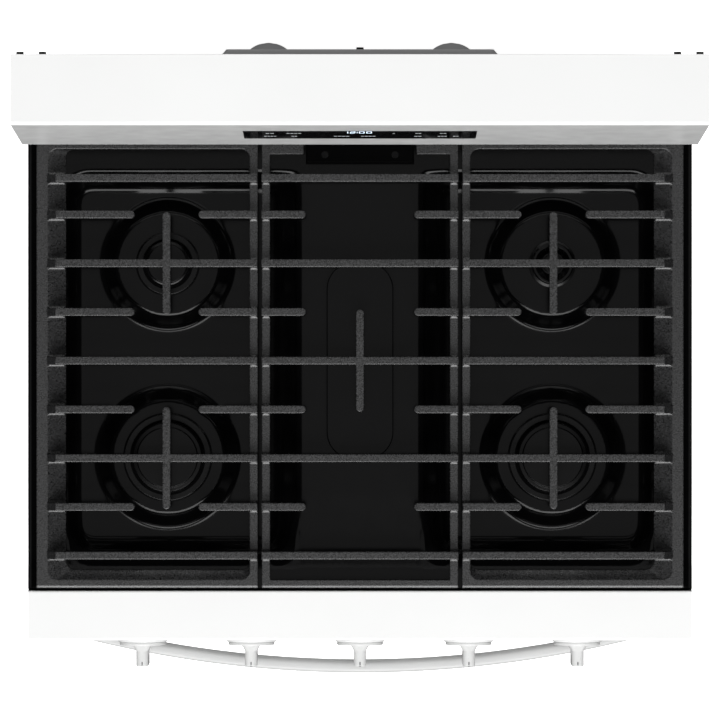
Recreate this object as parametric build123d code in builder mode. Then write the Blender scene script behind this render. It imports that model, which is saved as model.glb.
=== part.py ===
"""Freestanding gas range: 30 inch wide, five sealed burners, three cast grates, oven and storage drawer.

Millimetres. +X is the user's right, +Y is towards the wall, +Z is up.
The origin is on the floor, under the middle of the range.
"""

import math
import os

from build123d import *

os.makedirs("parts", exist_ok=True)

# ---- Driving dimensions ---------------------------------------------------------------
WIDTH = 759.0  # cooktop, control panel and backguard
COOKTOP_Z = 914.0  # worktop height
HEIGHT = 1193.0  # top of the backguard
PANEL_Y = -312.0  # front face of the control panel
BACK_Y = 341.0  # rear edge of the backguard
REACH_Y = 356.0  # door handle in front, stand-off domes behind

HALF = WIDTH / 2
SHEET = 1.2  # steel sheet of covers and panels
SIDE_X = HALF - 2  # outer face of a side panel
SIDE_IN = SIDE_X - SHEET
BODY_FRONT = -263.0  # front edge of the side panels
PANEL_BACK = -254.3  # rear edge of the control panel's top
BODY_BACK = 338.0
RETURN_X = 352.0  # inner edge of the side panels' folded returns
REAR_SHEET_Y = BODY_BACK - SHEET - 0.2  # rear face of the rear panel

# Front of the range, from the floor up
RAIL_Z = (30.0, 58.0)  # base frame
DRAWER_Z = (60.0, 215.0)  # clear of the door's lower edge as it swings down
DOOR_Z = (224.0, 808.0)
PANEL_Z = (814.0, COOKTOP_Z)
DOOR_Y = PANEL_Y - 1  # front face of door and drawer
DOOR_BACK = DOOR_Y + 45
HINGE_Y = DOOR_Y + 16
HINGE_Z = DOOR_Z[0] + 12
PIN_R = 4.0
RUN = 0.06  # radial running clearance

# Oven
CAVITY_X = 300.0
CAVITY_BACK = 217.0
CAVITY_Z = (240.0, 770.0)
OVEN_FLOOR_Z = 285.0
FRAME_Y = (-262.0, -260.0)  # oven front frame
LINER = 1.5
BAKE_Z = 262.0  # middle of the bake burner's tube
BROIL_Z = 748.0  # middle of the broil burner's tube
FLUE_X = 50.0
FLUE_MOUTH = (725.0, 755.0)  # where the cavity's gases enter the flue

# Cooktop
LEDGE_Z = COOKTOP_Z - 3  # ledge that the grates stand on
WELL_Z = COOKTOP_Z - 25  # floor of the two side wells
SKIRT_Z = WELL_Z - 3
STEEL = 2.0  # cooktop sheet
COOK_Y = (-254.0, 266.0)
WELL_TOP = ((70.0, 336.0), (-231.0, 224.0))
WELL_FLOOR = ((93.0, 325.5), (-198.0, 205.0))

SEAT_Z = WELL_Z + 17  # top of the pressed mound under each round burner
# Burners: name, x, y, mound foot radius, mound top radius, head radius, cap radius
ROUND_BURNERS = (
    ("front_left", -220.0, -102.5, 81.5, 63.5, 51.0, 40.4),
    ("front_right", 220.0, -102.5, 81.5, 63.5, 51.0, 40.4),
    ("rear_left", -220.0, 118.7, 75.3, 58.0, 36.5, 26.0),
    ("rear_right", 220.0, 118.7, 75.3, 58.0, 27.0, 24.0),
)
OVAL = (76.0, 225.0, 31.0)  # width, length and corner radius of the centre burner
CENTRE_Y = 8.0
BASE_Z = 862.0  # underside of every burner base

# Grates
GRATE_TOP = 946.0
RAIL_TOP = 921.0
RAIL_FOOT = LEDGE_Z + 0.4
BAR_FOOT = 929.0
BAR = 8.6
ARM = 8.9
GRATE_Y = (-251.5, 262.0)
OPENING_Y = (-231.0, 249.7)
PITCH = 55.4
ROWS = [CENTRE_Y + PITCH * step for step in (3, 2, 1, 0, -1, -2, -3, -4)]
FULL_ROWS = [215.8, ROWS[1], ROWS[3], ROWS[5], ROWS[7]]
FINGER_ROWS = [ROWS[0], ROWS[2], ROWS[4], ROWS[6]]
FOOT_OUT = 2.5  # the bars' feet stand out from the bars
FLARE = 68.0  # degrees from upright, on the shoulders of the feet
FLARE_TALL = 1.0

# Controls
KNOB_X = (-250.0, -125.0, 0.0, 125.0, 250.0)
KNOB_Z = 870.0
STEM_R = 4.0
PLUG_R = 8.0
SKIRT_Y = (-315.8, -319.3)
KNOB_TIP = -343.0
PIPE_Y = -253.0
PIPE_R = 9.0
RISER_X = 335.0
RISER_Y = 285.0

# Backguard
GUARD_FOOT = 886.0
RISER_FACE = 268.0  # set-back lower face
GUARD_LOW = (251.0, 1008.0)  # lower front edge of the leaning face: y, z
GUARD_TOP_Y = 264.0  # upper front edge
DISPLAY = (257.0, 1065.0, 1137.0)  # width, lowest and highest z


def save(builder, name):
    """Label a finished sub-part and write its STEP file."""
    builder.part.label = name
    export_step(builder.part, f"parts/{name}.step")


def block(x, y, z, mode=Mode.ADD):
    """A box between the low and high values given for each axis."""
    centre = tuple((low + high) / 2 for low, high in (x, y, z))
    with Locations(centre):
        Box(abs(x[1] - x[0]), abs(y[1] - y[0]), abs(z[1] - z[0]), mode=mode)


def both_ways(value):
    return (-value, value)


# ---- Casing ---------------------------------------------------------------------------
def make_side_panel(side, name):
    """A painted side sheet with a folded return at the front and at the back."""
    with BuildPart() as panel:
        top = SKIRT_Z - 0.5
        block((side * SIDE_IN, side * SIDE_X), (BODY_FRONT, BODY_BACK), (RAIL_Z[0], top))
        for y in (BODY_FRONT, BODY_BACK - SHEET):
            block((side * RETURN_X, side * SIDE_IN), (y, y + SHEET), (RAIL_Z[1] + 2, top))
    save(panel, name)


make_side_panel(-1, "side_panel_left")
make_side_panel(1, "side_panel_right")

FLANGE_Z = RAIL_Z[1] - 2  # underside of the base frame's flange

with BuildPart() as base_frame:  # a ring of inverted L section
    rail = 25.0
    wall = 2.0
    outer_x = SIDE_IN - 0.3
    front, back = -255.0, 335.0
    block(both_ways(outer_x), (front, back), RAIL_Z)
    block(both_ways(outer_x - rail), (front + rail, back - rail), RAIL_Z, Mode.SUBTRACT)
    block(both_ways(outer_x - wall), (front + wall, back - wall), (RAIL_Z[0] - 1, FLANGE_Z), Mode.SUBTRACT)
save(base_frame, "base_frame")

with BuildPart() as rear_panel:
    inner = REAR_SHEET_Y - SHEET
    block(both_ways(375), (inner, REAR_SHEET_Y), (150, SKIRT_Z - 1))
    rib_wide, rib_deep = 18.0, 4.0
    for x in (-330, -110, 110, 330):  # pressed stiffening ribs
        block((x - rib_wide / 2, x + rib_wide / 2), (inner - rib_deep, inner), (190, 850))
    slot_wide, slot_tall, slot_pitch, lowest_slot = 60.0, 6.0, 18.0, 640.0
    for row in range(8):
        with Locations((0, REAR_SHEET_Y, lowest_slot + slot_pitch * row)):
            with GridLocations(1.5 * slot_wide, 1, 2, 1):
                Box(slot_wide, 10, slot_tall, mode=Mode.SUBTRACT)
save(rear_panel, "rear_panel")

FOOT_R, FOOT_TALL = 15.0, 8.0
LEG_R = 6.0
HEX_R, HEX_TALL = 11.0, 6.0  # the collar that a wrench turns
UPRIGHT = (Align.CENTER, Align.CENTER, Align.MIN)

with BuildPart() as levelling_legs:
    for x in (-362, 362):
        for y in (-215, 300):
            with Locations((x, y, 0)):
                Cylinder(FOOT_R, FOOT_TALL, align=UPRIGHT)
                Cylinder(LEG_R, FLANGE_Z, align=UPRIGHT)
            with Locations((x, y, FOOT_TALL)):
                Cylinder(HEX_R, HEX_TALL, align=UPRIGHT)
save(levelling_legs, "levelling_legs")

# ---- Oven -----------------------------------------------------------------------------
BAKE_R = 12.0

with BuildPart() as oven_liner:
    block(both_ways(CAVITY_X + LINER), (FRAME_Y[1], CAVITY_BACK + LINER),
          (CAVITY_Z[0] - LINER, CAVITY_Z[1] + LINER))
    block(both_ways(CAVITY_X), (FRAME_Y[1] - 1, CAVITY_BACK), CAVITY_Z, Mode.SUBTRACT)
    block(both_ways(FLUE_X - 5), (CAVITY_BACK - 1, CAVITY_BACK + 5), FLUE_MOUTH, Mode.SUBTRACT)
    with Locations((0, CAVITY_BACK, BAKE_Z)):
        Cylinder(BAKE_R + 1, 10, rotation=(90, 0, 0), mode=Mode.SUBTRACT)
save(oven_liner, "oven_liner")

EAR_X = 303.0  # middle of a hinge ear
EAR_WIDE, EAR_R = 6.0, 9.0

with BuildPart() as oven_front_frame:
    block(both_ways(RETURN_X - 0.5), FRAME_Y, (DOOR_Z[0] + 2, DOOR_Z[1] + 2))
    block(both_ways(CAVITY_X), (FRAME_Y[0] - 1, FRAME_Y[1] + 1), (OVEN_FLOOR_Z, CAVITY_Z[1]), Mode.SUBTRACT)
    for side in (-1, 1):  # hinge ears that carry the door pins
        ear_x = (side * EAR_X - EAR_WIDE / 2, side * EAR_X + EAR_WIDE / 2)
        block(ear_x, (HINGE_Y, FRAME_Y[0]), (HINGE_Z - EAR_R, HINGE_Z + EAR_R))
        with Locations((side * EAR_X, HINGE_Y, HINGE_Z)):
            Cylinder(EAR_R, EAR_WIDE, rotation=(0, 90, 0))
            Cylinder(PIN_R + RUN, EAR_WIDE + 2, rotation=(0, 90, 0), mode=Mode.SUBTRACT)
save(oven_front_frame, "oven_front_frame")

with BuildPart() as insulation:
    gap = 0.5
    wrap_x, wrap_back, wrap_z = 340.0, 259.0, (222.0, 812.0)
    block(both_ways(wrap_x), (FRAME_Y[1] + 2, wrap_back), wrap_z)
    block(both_ways(CAVITY_X + LINER + gap), (FRAME_Y[1], CAVITY_BACK + LINER + gap),
          (CAVITY_Z[0] - LINER - gap, CAVITY_Z[1] + LINER + gap), Mode.SUBTRACT)
    # room for the flue and for the bake burner's tube
    block(both_ways(FLUE_X + 3), (CAVITY_BACK, wrap_back + 1), (700, wrap_z[1] + 1), Mode.SUBTRACT)
    with Locations((0, CAVITY_BACK + 21, BAKE_Z)):
        Cylinder(BAKE_R + 3, 60, rotation=(90, 0, 0), mode=Mode.SUBTRACT)
save(insulation, "insulation_blanket")

with BuildPart() as oven_floor:
    block(both_ways(CAVITY_X - 1.5), (-252, CAVITY_BACK - 3), (OVEN_FLOOR_Z - 2, OVEN_FLOOR_Z))
    with Locations((0, -20, OVEN_FLOOR_Z)):
        with GridLocations(520, 50, 2, 8):  # heat slots along both sides
            Box(26, 12, 10, mode=Mode.SUBTRACT)
save(oven_floor, "oven_floor_panel")

with BuildPart() as bake_burner:
    front, back = -190.0, 232.0
    with Locations((0, (front + back) / 2, BAKE_Z)):
        Cylinder(BAKE_R, back - front, rotation=(90, 0, 0))
        with GridLocations(1, 24, 1, 14):  # flame slots across the tube
            Box(40, 3, 2, mode=Mode.SUBTRACT)
    block(both_ways(3), (front, back), (BAKE_Z, BAKE_Z + 8))
save(bake_burner, "bake_burner")

with BuildPart() as broil_burner:
    plate_y = (-170.0, 150.0)
    plate_z = (BROIL_Z - 10, BROIL_Z - 8)
    block(both_ways(95), plate_y, plate_z)
    block(both_ways(22), plate_y, (plate_z[1], BROIL_Z + 8))
    with Locations((0, CAVITY_BACK - 34, BROIL_Z)):
        Cylinder(7, 67, rotation=(90, 0, 0))
    with Locations((0, sum(plate_y) / 2, plate_z[0])):
        with GridLocations(140, 20, 2, 14):  # flame slots in both wings
            Box(30, 4, 6, mode=Mode.SUBTRACT)
save(broil_burner, "broil_burner")

with BuildPart() as flue_duct:
    duct_y = (CAVITY_BACK + LINER + 0.3, 252.0)
    foot = FLUE_MOUTH[0] - 20
    block(both_ways(FLUE_X), duct_y, (foot, LEDGE_Z - STEEL - 0.4))
    block(both_ways(FLUE_X - 1), (duct_y[0] + 1, duct_y[1] - 1), (foot + 1, LEDGE_Z), Mode.SUBTRACT)
    block(both_ways(FLUE_X - 5), (duct_y[0] - 1, duct_y[0] + 3), FLUE_MOUTH, Mode.SUBTRACT)
save(flue_duct, "flue_duct")

RACK_Z = (405.0, 560.0)  # centre height of each rack's side rods
GUIDE_R = 2.5
ROD_R = 3.0
RACK_X = CAVITY_X - 11

with BuildPart() as rack_guides:
    for side in (-1, 1):
        for y in (-200, 160):
            with Locations((side * 295.2, y, 480)):
                Cylinder(GUIDE_R, 370)
        level_gap = (RACK_Z[1] - RACK_Z[0]) / 2
        for level in (-1, 0, 1, 2, 3):
            guide_z = RACK_Z[0] - ROD_R - 0.4 - GUIDE_R + level_gap * level
            with Locations((side * 291, -20, guide_z)):
                Cylinder(GUIDE_R, 420, rotation=(90, 0, 0))
save(rack_guides, "rack_guides")


def make_rack(z, name):
    """A chromed wire rack: a bent rod frame, two cross rods and thin lengthways wires."""
    front, back, wire_r = -235.0, 205.0, 1.8
    middle = (front + back) / 2
    with BuildPart() as rack:
        with BuildLine() as loop:
            corners = [(-RACK_X, front), (RACK_X, front), (RACK_X, back), (-RACK_X, back)]
            FilletPolyline(*[(x, y, z) for x, y in corners], radius=22, close=True)
        with BuildSketch(Plane(origin=loop.wire() @ 0, z_dir=loop.wire() % 0)):
            Circle(ROD_R)
        sweep()
        for y in (middle - 75, middle + 75):
            with Locations((0, y, z - 1.2)):
                Cylinder(ROD_R - 0.5, 2 * RACK_X, rotation=(0, 90, 0))
        with Locations((0, middle, z + 1)):
            with GridLocations(36, 1, 15, 1):
                Cylinder(wire_r, back - front, rotation=(90, 0, 0))
    save(rack, name)


make_rack(RACK_Z[0], "oven_rack_lower")
make_rack(RACK_Z[1], "oven_rack_upper")

# ---- Oven door ------------------------------------------------------------------------
WINDOW_X = 265.0
WINDOW_Z = (395.0, 690.0)
INNER_WINDOW = (215.0, (420.0, 665.0))  # half width and heights of the inner panel's opening
PANE = 4.0
SPLIT_Y = DOOR_Y + 23  # front of the inner panel
INNER_X = 375.0
EAR_NOTCH = ((EAR_X - 5, EAR_X + 5), (DOOR_Y + 6, DOOR_BACK + 1), (DOOR_Z[0] - 1, HINGE_Z + EAR_R + 1.5))


def cut_ear_notches():
    """Room for the fixed hinge ears at every angle of the door."""
    x, y, z = EAR_NOTCH
    block(x, y, z, Mode.SUBTRACT)
    block((-x[0], -x[1]), y, z, Mode.SUBTRACT)


def rounded_opening(half_width, z, y, depth, radius, mode):
    """A rounded rectangle in the XZ plane, extruded from y towards the back."""
    with BuildSketch(Plane.XZ.offset(-y)) as outline:
        with Locations((0, (z[0] + z[1]) / 2)):
            RectangleRounded(2 * half_width, z[1] - z[0], radius)
    extrude(outline.sketch, amount=-depth, mode=mode)


with BuildPart() as door_outer:
    rounded_opening(SIDE_X, DOOR_Z, DOOR_Y, SPLIT_Y - 0.3 - DOOR_Y, 4, Mode.ADD)
    front = door_outer.faces().sort_by(Axis.Y)[0]
    fillet(front.edges(), 2.5)
    block(both_ways(SIDE_X - SHEET), (DOOR_Y + SHEET, DOOR_Y + 30),
          (DOOR_Z[0] + SHEET, DOOR_Z[1] - SHEET), Mode.SUBTRACT)
    rounded_opening(WINDOW_X, WINDOW_Z, DOOR_Y - 1, 5, 12, Mode.SUBTRACT)
    cut_ear_notches()
save(door_outer, "door_outer_panel")

with BuildPart() as door_inner:
    low, high = DOOR_Z[0] + 1, DOOR_Z[1] - 1
    block(both_ways(INNER_X), (SPLIT_Y, DOOR_BACK), (low, high))
    block(both_ways(INNER_X - SHEET), (SPLIT_Y - 1, DOOR_BACK - SHEET), (low + SHEET, high - SHEET),
          Mode.SUBTRACT)
    rounded_opening(*INNER_WINDOW, DOOR_BACK - 5, 10, 12, Mode.SUBTRACT)
    cut_ear_notches()
save(door_inner, "door_inner_panel")

with BuildPart() as door_glass:
    edge = 13.0  # how far each pane reaches behind its opening's edge
    outer_z = (WINDOW_Z[0] - edge, WINDOW_Z[1] + edge)
    rounded_opening(WINDOW_X + edge, outer_z, DOOR_Y + SHEET + 0.2, PANE, 6, Mode.ADD)
    half, (low, high) = INNER_WINDOW
    inner_y = DOOR_BACK - SHEET - PANE - 0.3
    rounded_opening(half + edge, (low - edge, high + edge), inner_y, PANE, 6, Mode.ADD)
save(door_glass, "door_window_glass")

with BuildPart() as door_hinges:
    cheek = (5.3, 10.5)  # inner and outer face of a cheek, from the middle of the ear
    deep = (HINGE_Y - 8, HINGE_Y + 22)
    for side in (-1, 1):
        for beside in (-1, 1):
            x = (side * EAR_X + beside * cheek[0], side * EAR_X + beside * cheek[1])
            block(x, deep, (HINGE_Z - 8, HINGE_Z + 74))
        block((side * EAR_X - cheek[1], side * EAR_X + cheek[1]), deep, (HINGE_Z + 14, HINGE_Z + 74))
        with Locations((side * EAR_X, HINGE_Y, HINGE_Z)):
            Cylinder(PIN_R, 2 * cheek[1], rotation=(0, 90, 0))
save(door_hinges, "door_hinges")

with BuildPart() as door_handle:
    deep, tall = 15.5, 25.0
    bow = 1317.0  # radius of the middle of the bar
    with BuildSketch(Plane.XY.offset(DOOR_Z[1] - 28)):
        with Locations((0, bow - REACH_Y + deep / 2)):
            Circle(bow + deep / 2)
            Circle(bow - deep / 2, mode=Mode.SUBTRACT)
        with Locations((0, DOOR_Y - 50)):
            Rectangle(WIDTH, 100, mode=Mode.INTERSECT)
    extrude(amount=tall)
    chamfer(door_handle.edges().filter_by(GeomType.CIRCLE), 4)
save(door_handle, "door_handle")

with BuildPart() as gasket:
    loop_x, low_z, high_z = 312.0, 274.0, 782.0
    loop_y = (DOOR_BACK + FRAME_Y[0]) / 2
    with BuildLine() as gasket_path:
        corners = [(-loop_x, low_z), (loop_x, low_z), (loop_x, high_z), (-loop_x, high_z)]
        FilletPolyline(*[(x, loop_y, z) for x, z in corners], radius=15, close=True)
    start = gasket_path.wire() @ 0
    with BuildSketch(Plane(origin=start, z_dir=gasket_path.wire() % 0)):
        Circle(2.6)
    sweep()
save(gasket, "door_gasket")

# ---- Storage drawer -------------------------------------------------------------------
BOX_X = 333.0
BOX_Z = (72.0, 200.0)
BOX_BACK = 190.0
RUNNER_Z = 130.0
FRONT_DEEP = 17.0

RUNNER_FRONT = -250.0

with BuildPart() as drawer_front:
    rounded_opening(SIDE_X, DRAWER_Z, DOOR_Y, FRONT_DEEP, 4, Mode.ADD)
    fillet(drawer_front.faces().sort_by(Axis.Y)[0].edges(), 2.5)
    block(both_ways(SIDE_X - SHEET), (DOOR_Y + SHEET, DOOR_Y + 30),
          (DRAWER_Z[0] + SHEET, DRAWER_Z[1] - SHEET), Mode.SUBTRACT)
    for x in (-300, 0, 300):  # stand-offs to the drawer box
        block((x - 15, x + 15), (DOOR_Y + SHEET, DOOR_Y + FRONT_DEEP), (100, 180))
save(drawer_front, "drawer_front")

with BuildPart() as drawer_box:
    box_y = (DOOR_Y + FRONT_DEEP + 0.2, BOX_BACK)
    block(both_ways(BOX_X), box_y, BOX_Z)
    block(both_ways(BOX_X - SHEET), (box_y[0] + SHEET, box_y[1] - SHEET), (BOX_Z[0] + SHEET, BOX_Z[1] + 1),
          Mode.SUBTRACT)
    for side in (-1, 1):  # slides that run on the runners
        block((side * BOX_X, side * 346), (RUNNER_FRONT, BOX_BACK), (RUNNER_Z + 3.4, RUNNER_Z + 5.4))
save(drawer_box, "drawer_box")

with BuildPart() as runners:
    for side in (-1, 1):
        runner_y = (RUNNER_FRONT, 250)
        block((side * (BOX_X + 3), side * (SIDE_IN - 0.2)), runner_y, (RUNNER_Z, RUNNER_Z + 3))
        block((side * 349, side * 352), runner_y, (RUNNER_Z, RUNNER_Z + 22))
save(runners, "drawer_runners")


# ---- Cooktop --------------------------------------------------------------------------
def cooktop_form(skin):
    """The solid under the cooktop's upper surface, or, with a skin, under its lower surface."""
    outlines = ((WELL_TOP, LEDGE_Z, 26), (WELL_FLOOR, WELL_Z, 18))  # with the outer corners' radius
    inner_corner = 8.0
    with BuildPart(mode=Mode.PRIVATE) as form:
        block(both_ways(HALF - skin), (COOK_Y[0] + skin, COOK_Y[1] - skin),
              (SKIRT_Z - skin, COOKTOP_Z - skin))
        block(both_ways(HALF - 9 + skin), (COOK_Y[0] + 1.6 + skin / 2, COOK_Y[1] - 2.5 + skin / 2),
              (LEDGE_Z - skin, COOKTOP_Z), Mode.SUBTRACT)
        for side in (-1, 1):
            for (x, y), z, outer_corner in outlines:
                with BuildSketch(Plane.XY.offset(z - skin)) as outline:
                    with Locations((side * sum(x) / 2, sum(y) / 2)):
                        Rectangle(x[1] - x[0] + 2 * skin, y[1] - y[0] + 2 * skin)
                    by_x = outline.vertices().sort_by(Axis.X)
                    inner, outer = (by_x[:2], by_x[2:]) if side > 0 else (by_x[2:], by_x[:2])
                    fillet(inner, inner_corner)
                    fillet(outer, outer_corner)
            loft(mode=Mode.SUBTRACT)
        height = SEAT_Z - WELL_Z
        for _, x, y, foot, top, _, _ in ROUND_BURNERS:
            with Locations((x, y, WELL_Z - skin - 1 + (height + 1) / 2)):
                slope = (foot - top) / height
                Cone(foot + slope - skin, top - skin, height + 1)
    return form.part


with BuildPart() as cooktop:
    add(cooktop_form(0))
    add(cooktop_form(STEEL), mode=Mode.SUBTRACT)
    for _, x, y, *_ in ROUND_BURNERS:
        with Locations((x, y, WELL_Z)):
            Cylinder(20, 60, mode=Mode.SUBTRACT)
    with Locations((0, CENTRE_Y, LEDGE_Z)):
        Cylinder(20, 20, mode=Mode.SUBTRACT)
    block(both_ways(47), (238, 250), (LEDGE_Z - 5, LEDGE_Z + 5), Mode.SUBTRACT)
save(cooktop, "cooktop")

VENT_X = 61.6
VENT_Y = (233.0, 257.0)
VENT_TOP = 925.0

with BuildPart() as vent_trim:
    wall = 2.5
    block(both_ways(VENT_X), VENT_Y, (LEDGE_Z + 0.1, VENT_TOP))
    fillet(vent_trim.faces().sort_by(Axis.Z)[-1].edges(), 2.0)
    block(both_ways(VENT_X - wall), (VENT_Y[0] + wall, VENT_Y[1] - wall), (LEDGE_Z, VENT_TOP - 2),
          Mode.SUBTRACT)
    block(both_ways(50), (VENT_Y[1] - 5, VENT_Y[1] + 5), (LEDGE_Z + 2, LEDGE_Z + 10), Mode.SUBTRACT)
save(vent_trim, "oven_vent_trim")


# ---- Burners --------------------------------------------------------------------------
CROWN = 12.0  # height of a burner head above its seat


def revolved(outline, x, y, z):
    """Revolve an outline of (radius, height) points about an upright axis through (x, y)."""
    with BuildSketch(Plane(origin=(x, y, z), x_dir=(1, 0, 0), z_dir=(0, -1, 0))) as half_section:
        with BuildLine():
            Polyline(*outline, close=True)
        make_face()
    revolve(half_section.sketch, axis=Axis((x, y, z), (0, 0, 1)))


def make_round_burner(name, x, y, head_r, cap_r):
    """An aluminium head with flame ports and, on it, an enamelled cap."""
    crown_r = cap_r - 2.4
    base = BASE_Z - SEAT_Z
    small = head_r < 30
    stem = [(0, base), (13, base), (13, -6), (19.5, -6), (19.5, 0), (head_r, 0)]
    rim = [(head_r, 3.5), (head_r - 2, 5), (cap_r + 2.8, 5), (crown_r + 1, 3), (crown_r, 3)]
    head = stem + ([(head_r, 3), (crown_r, 5)] if small else rim) + [(crown_r, CROWN), (0, CROWN)]
    with BuildPart() as burner_head:
        revolved(head, x, y, SEAT_Z)
        with Locations((x, y, SEAT_Z + CROWN - 2.5)):
            with PolarLocations(crown_r - 3, 24):
                Box(9, 1.6, 5, mode=Mode.SUBTRACT)
    save(burner_head, f"burner_head_{name}")

    foot = CROWN + 0.3
    disc_r = cap_r * 0.84
    plain = [(0, foot), (cap_r, foot), (cap_r, foot + 2.5), (cap_r - 1.6, foot + 4),
             (disc_r + 1, foot + 4.4), (disc_r, foot + 5.6), (0, foot + 6)]
    dished = [(0, foot), (cap_r, foot), (cap_r, foot + 3), (cap_r - 1.5, foot + 4.5), (cap_r - 4, foot + 4.5),
              (13, foot + 2), (11.5, foot + 2), (10.5, foot + 4.6), (0, foot + 5)]
    with BuildPart() as cap:
        revolved(dished if small else plain, x, y, SEAT_Z)
    save(cap, f"burner_cap_{name}")


for name, x, y, _, _, head_r, cap_r in ROUND_BURNERS:
    make_round_burner(name, x, y, head_r, cap_r)


def oval_layer(grow, z, amount, mode=Mode.ADD):
    """A slab with the centre burner's outline, grown by the given amount."""
    width, length, corner = OVAL
    with BuildSketch(Plane.XY.offset(z)) as layer:
        with Locations((0, CENTRE_Y)):
            RectangleRounded(width + 2 * grow, length + 2 * grow, corner + grow)
    extrude(layer.sketch, amount=amount, mode=mode)


with BuildPart() as oval_head:
    oval_layer(1.4, LEDGE_Z, 2.5)
    oval_layer(-2, LEDGE_Z + 2.5, 4)
    with Locations((0, CENTRE_Y, BASE_Z)):
        Cylinder(13, LEDGE_Z - BASE_Z, align=UPRIGHT)
    with Locations((0, CENTRE_Y, LEDGE_Z + 5)):
        with GridLocations(2 * 36, 9, 2, 18):  # flame ports along both sides
            Box(8, 1.6, 4, mode=Mode.SUBTRACT)
save(oval_head, "burner_head_centre")

with BuildPart() as oval_cap:
    oval_layer(0, LEDGE_Z + 6.8, 4)
    fillet(oval_cap.faces().sort_by(Axis.Z)[-1].edges(), 1.2)
save(oval_cap, "burner_cap_centre")

CERAMIC_R = 2.5
WIRE_R = 0.9

with BuildPart() as electrodes:
    for _, x, y, _, _, head_r, _ in ROUND_BURNERS:
        with Locations((x, y + head_r + 3.5, SEAT_Z)):
            Cylinder(CERAMIC_R, 9, align=UPRIGHT)
            Cylinder(WIRE_R, 13, align=UPRIGHT)
    with Locations((OVAL[0] / 2 + 5.5, CENTRE_Y, LEDGE_Z)):
        Cylinder(CERAMIC_R, 6, align=UPRIGHT)
        Cylinder(WIRE_R, 9, align=UPRIGHT)
save(electrodes, "spark_electrodes")

# ---- Grates ---------------------------------------------------------------------------
INNER_RAIL = (116.7, 126.0)
BAND = (336.0, 357.0, 369.3)  # inner edge, crease and outer edge of the side band
CENTRE_RAIL = (102.7, 112.0)
BURNER_X = 220.0
TIP = 45.0  # from the burner's middle to a finger's tip


def add_frame(x):
    """A grate's frame before its opening is cut, with a front edge that slopes gently."""
    front, back = GRATE_Y
    with BuildSketch(Plane.YZ.offset(x[0])) as side:
        with BuildLine():
            Polyline((front, RAIL_FOOT), (front, RAIL_TOP - 0.9), (front + 2.4, RAIL_TOP),
                     (back, RAIL_TOP), (back, RAIL_FOOT), close=True)
        make_face()
    extrude(side.sketch, amount=x[1] - x[0])


def add_bars(outline, rows):
    """Bars with one side outline in the XZ plane, at each of the given rows."""
    with BuildSketch(*[Plane.XZ.offset(-y) for y in rows]) as sides:
        with BuildLine():
            Polyline(*outline, close=True)
        make_face()
    extrude(sides.sketch, amount=BAR / 2, both=True)


def add_feet(x, width, rows, foot):
    """Feet where the bars stand on the frame, with shoulders that slope gently up to the bars."""
    for z, tall, flare in ((foot, RAIL_TOP - foot, 0), (RAIL_TOP, FLARE_TALL, FLARE)):
        with BuildSketch(Plane.XY.offset(z)) as feet:
            with Locations(*[(x, y) for y in rows]):
                Rectangle(width, BAR + 2 * FOOT_OUT)
        extrude(feet.sketch, amount=tall, taper=flare)


def add_tips(x, rows):
    """Rounded ends of the fingers."""
    for y in rows:
        with Locations((x, y, BAR_FOOT)):
            Cylinder(BAR / 2, GRATE_TOP - BAR_FOOT, align=UPRIGHT)


def add_arm(x, y):
    """The arm that crosses the bars over a burner."""
    with BuildSketch(Plane.XY.offset(BAR_FOOT)) as arm:
        with Locations((x, y)):
            SlotOverall(116, ARM, rotation=90)
    extrude(arm.sketch, amount=GRATE_TOP - BAR_FOOT)


def make_side_grate(side, name):
    with BuildPart() as grate:
        add_frame((INNER_RAIL[0], BAND[2]))
        # the band and the front rail fall away towards the opening
        slopes = ((RAIL_TOP + 0.1, BAND[1], -242.4), (RAIL_TOP - 7.5, BAND[0], OPENING_Y[0]))
        for z, edge_x, front_y in slopes:
            with BuildSketch(Plane.XY.offset(z)):
                with Locations(((INNER_RAIL[1] + edge_x) / 2, (front_y + OPENING_Y[1]) / 2)):
                    RectangleRounded(edge_x - INNER_RAIL[1], OPENING_Y[1] - front_y, 10)
        loft(mode=Mode.SUBTRACT)
        with BuildSketch(Plane.XY.offset(RAIL_FOOT - 1)):
            with Locations(((INNER_RAIL[1] + BAND[0]) / 2, sum(OPENING_Y) / 2)):
                RectangleRounded(BAND[0] - INNER_RAIL[1], OPENING_Y[1] - OPENING_Y[0], 10)
        extrude(amount=20, mode=Mode.SUBTRACT)

        inner = [(INNER_RAIL[0], RAIL_TOP - 2), (INNER_RAIL[0], GRATE_TOP)]
        outer = [(346.4, GRATE_TOP), (BAND[1], RAIL_TOP), (BAND[1], RAIL_TOP - 5), (341, RAIL_TOP - 6)]
        heel = [(334, BAR_FOOT), (131, BAR_FOOT), (INNER_RAIL[1], RAIL_TOP - 2)]
        add_bars(inner + outer + heel, FULL_ROWS)
        finger = BURNER_X + TIP - BAR / 2
        add_bars([(finger, GRATE_TOP)] + outer + [heel[0], (finger, BAR_FOOT)], FINGER_ROWS)
        add_tips(finger, FINGER_ROWS)
        finger = BURNER_X - TIP + BAR / 2
        add_bars(inner + [(finger, GRATE_TOP), (finger, BAR_FOOT)] + heel[1:], FINGER_ROWS)
        add_tips(finger, FINGER_ROWS)
        rows = FULL_ROWS + FINGER_ROWS
        add_feet(sum(INNER_RAIL) / 2, 9, rows, RAIL_TOP - 1)
        add_feet(346.5, 20, rows, RAIL_TOP - 8)
        add_arm(BURNER_X, FULL_ROWS[1])
        add_arm(BURNER_X, FULL_ROWS[3])
        if side < 0:
            mirror(about=Plane.YZ, mode=Mode.REPLACE)
    save(grate, name)


make_side_grate(-1, "grate_left")
make_side_grate(1, "grate_right")

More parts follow.
